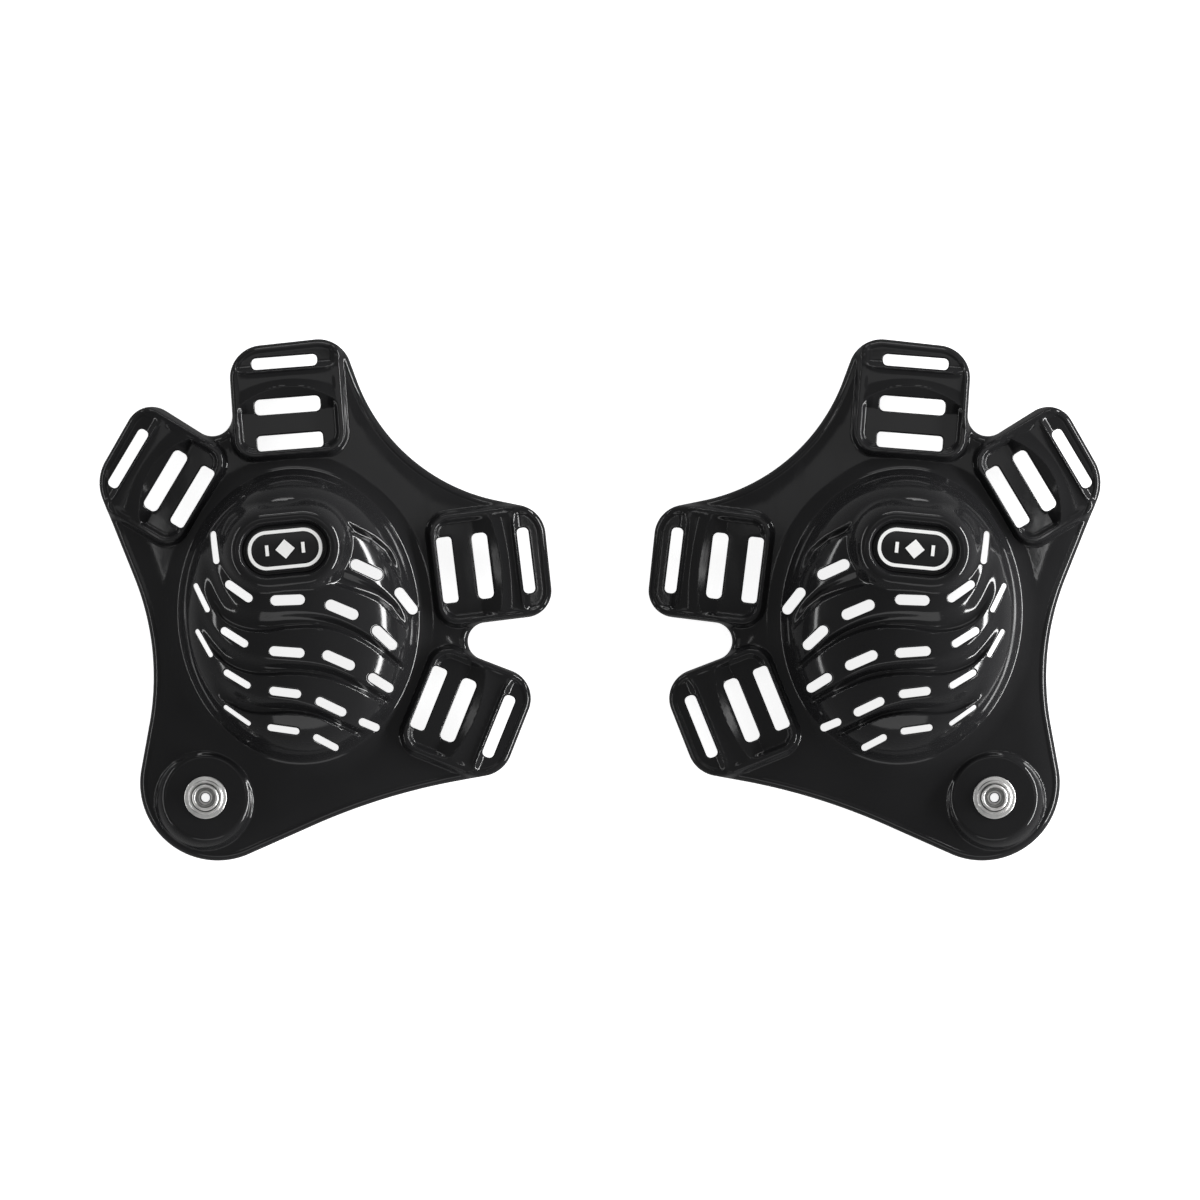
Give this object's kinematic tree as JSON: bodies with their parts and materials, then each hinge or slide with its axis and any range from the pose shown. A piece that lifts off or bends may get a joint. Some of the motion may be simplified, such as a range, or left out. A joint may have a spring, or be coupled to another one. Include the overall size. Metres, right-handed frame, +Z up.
{
  "type": "pair of ear guards for strap-on sports headgear",
  "caption": "Mirrored pair of rigid moulded ear guards: vented dome, flange with webbing-slot tabs, metal snap stud on a round boss and oval badge.",
  "frame": {"origin": "on the surface that the guards lie on, midway between the two guards and at the middle of their length", "axes": "+X from the left guard to the right guard, +Y towards the top tabs, +Z up, out of the domes"},
  "size_m": [0.3008, 0.1568, 0.0411],
  "materials": {
    "shell_plastic": "glossy black injection moulding",
    "badge_plastic": "satin-gloss black plate",
    "badge_print": "white print",
    "snap_metal": "satin nickel plating"
  },
  "bodies": {
    "left_guard": {"left_shell": "shell_plastic", "left_snap_stud": "snap_metal", "left_snap_eyelet": "snap_metal", "left_badge_plate": "badge_plastic", "left_badge_print": "badge_print"},
    "right_guard": {"right_shell": "shell_plastic", "right_snap_stud": "snap_metal", "right_snap_eyelet": "snap_metal", "right_badge_plate": "badge_plastic", "right_badge_print": "badge_print"}
  },
  "joints": [
    {"name": "pair_spacing", "type": "slide", "parent": "left_guard", "child": "right_guard", "axis": [1, 0, 0], "range_m": [-0.02, 0.08]}
  ]
}
